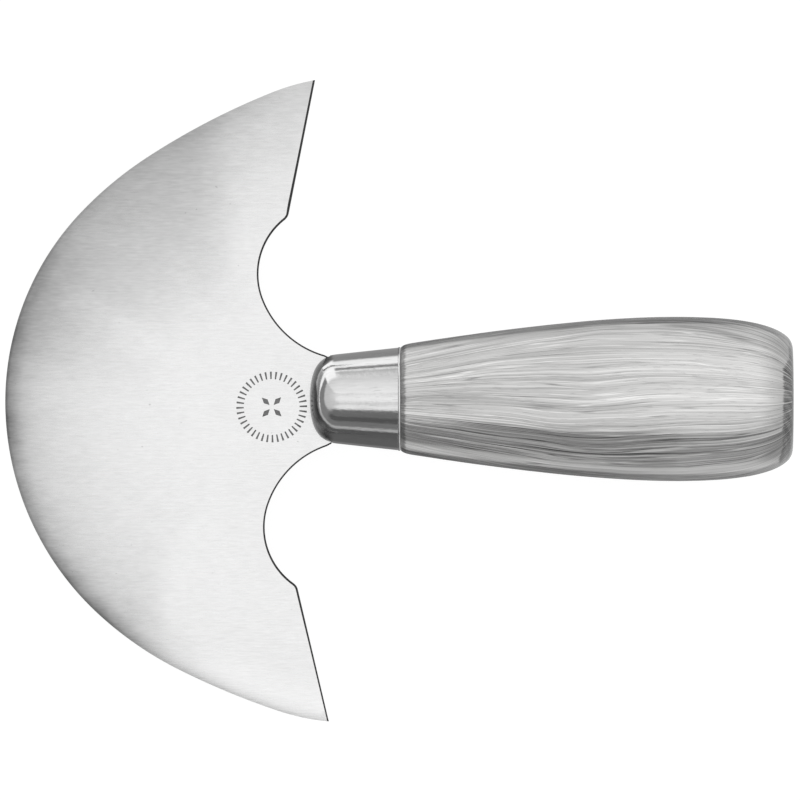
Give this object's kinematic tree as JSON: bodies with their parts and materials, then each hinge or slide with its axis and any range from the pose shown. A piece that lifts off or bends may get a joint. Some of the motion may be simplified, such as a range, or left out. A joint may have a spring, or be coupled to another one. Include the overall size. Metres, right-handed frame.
{
  "type": "head knife",
  "caption": "Crescent-bladed leather knife with two pointed horns, a finger notch either side of the neck, a slotted metal ferrule and a turned wooden handle.",
  "frame": {"origin": "centre of the flat butt face of the handle", "axes": "+X out of the butt along the handle, the blade lies in the XY plane and cuts towards -X, +Z out of the stamped face of the blade"},
  "size_m": [0.1481, 0.1207, 0.0308],
  "materials": {
    "blade_steel": "fine brushed along the handle's direction, bevels ground brighter",
    "plated_metal": "bright plated, lightly worn",
    "handle_wood": "turned hardwood under clear varnish, grain along the handle",
    "cement": "dark cast resin"
  },
  "bodies": {
    "root": {"blade": "blade_steel", "ferrule": "plated_metal", "handle": "handle_wood", "tang_resin": "cement"}
  },
  "joints": []
}
